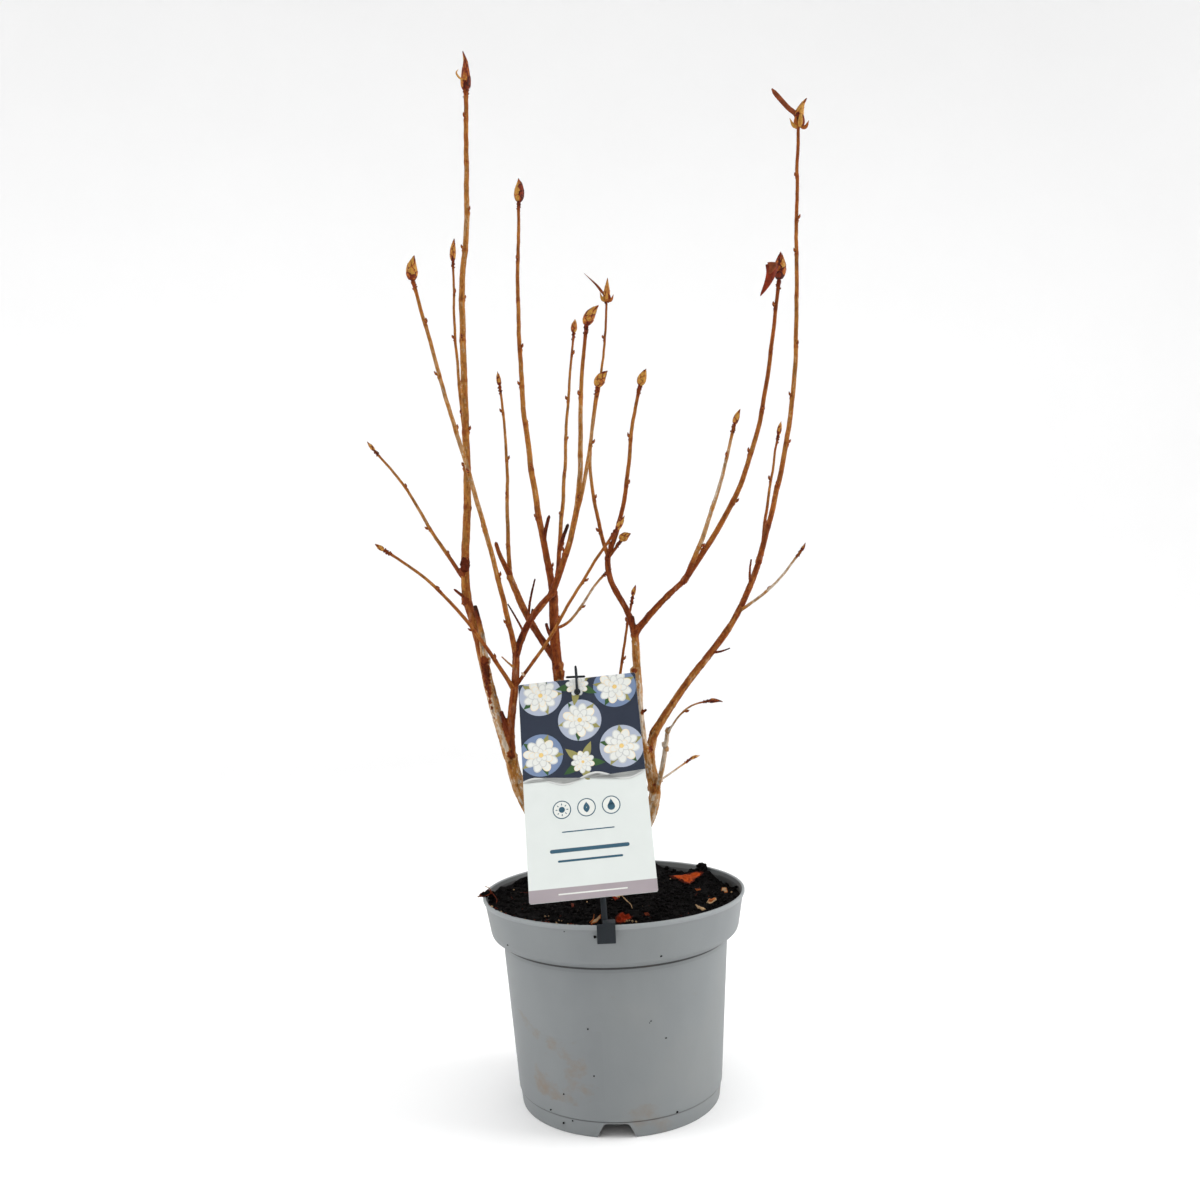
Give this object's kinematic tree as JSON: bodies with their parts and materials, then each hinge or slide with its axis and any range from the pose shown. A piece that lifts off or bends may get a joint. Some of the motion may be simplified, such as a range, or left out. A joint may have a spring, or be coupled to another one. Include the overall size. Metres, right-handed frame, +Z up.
{
  "type": "bare deciduous azalea shrub in a nursery pot",
  "caption": "Leafless upright shrub with several branching stems and fat winter buds, growing in a round plastic nursery pot with a plain picture label leaning over the rim.",
  "frame": {"origin": "centre of the pot's flat underside, on the surface that it stands on", "axes": "+Z up along the pot's axis, +X to the viewer's right, -Y towards the viewer and the label"},
  "size_m": [0.366, 0.1953, 0.802],
  "materials": {
    "pot": "satin",
    "soil": "crumbly, damp",
    "label_card": "semi-gloss print film",
    "label_holder": "moulded matt",
    "bark": "thin ridged bark",
    "shoots": "smooth young bark and bud scales"
  },
  "bodies": {
    "root": {"pot": "pot", "soil": "soil", "label_card": "label_card", "label_holder": "label_holder", "trunk": "bark", "bough_left": "bark", "bough_left_outer": "bark", "bough_left_inner": "bark", "bough_cross": "bark", "bough_centre": "bark", "bough_centre_left": "bark", "bough_right": "bark", "bough_right_outer": "bark", "bough_right_inner": "bark", "bough_right_upper": "bark", "bough_right_arching": "bark", "shoots_left_tall": "shoots", "shoots_left_front": "shoots", "shoots_left_low": "shoots", "shoots_middle_low": "shoots", "shoots_centre_back": "shoots", "shoots_centre_front": "shoots", "shoots_centre_left": "shoots", "shoots_centre_low": "shoots", "shoots_right_middle": "shoots", "shoots_right_arching": "shoots", "shoots_right_tall": "shoots", "shoots_right_side": "shoots", "spur_right_front": "shoots", "spur_right_back": "shoots", "shoot_behind_label": "shoots"}
  },
  "joints": []
}
